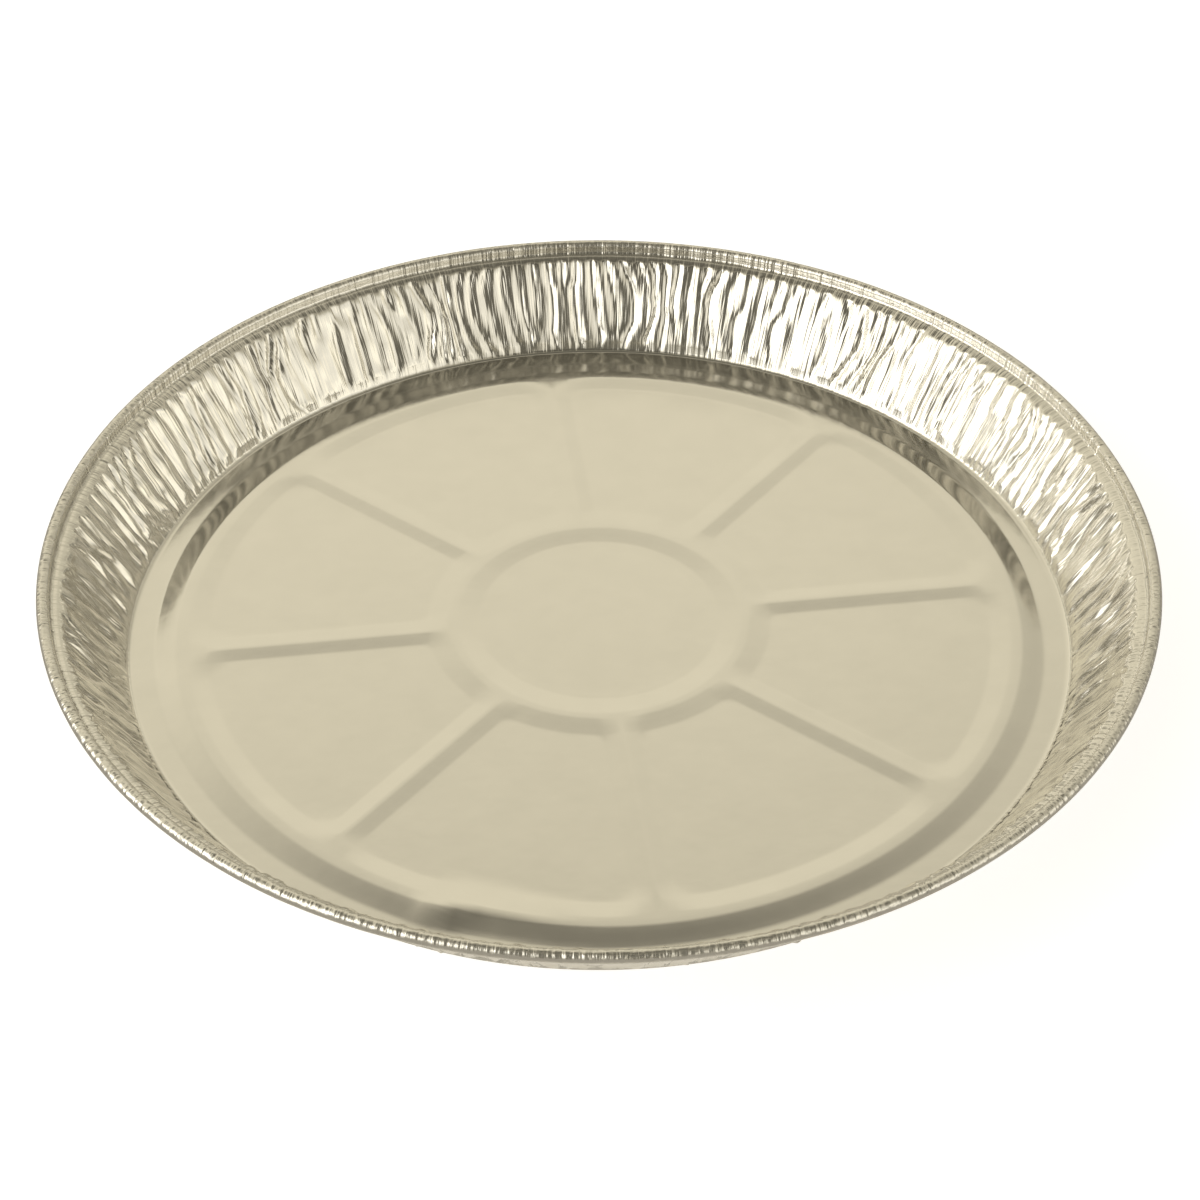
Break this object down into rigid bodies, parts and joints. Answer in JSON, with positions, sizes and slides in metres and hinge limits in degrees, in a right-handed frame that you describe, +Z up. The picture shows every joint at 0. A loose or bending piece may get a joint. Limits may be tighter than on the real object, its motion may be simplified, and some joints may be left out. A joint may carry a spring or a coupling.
{
  "type": "foil pie tin",
  "caption": "Round shallow foil pie tin with a rolled rim, a narrow flange, a gathered sloping wall and a base pressed with a centre ring and radial ribs.",
  "frame": {"origin": "middle of the resting plane, under the centre disc", "axes": "+Z up through the middle of the tin, +X along one rib of the base"},
  "size_m": [0.305, 0.305, 0.0285],
  "materials": {
    "foil": "satin"
  },
  "bodies": {
    "root": {"tin": "foil"}
  },
  "joints": []
}
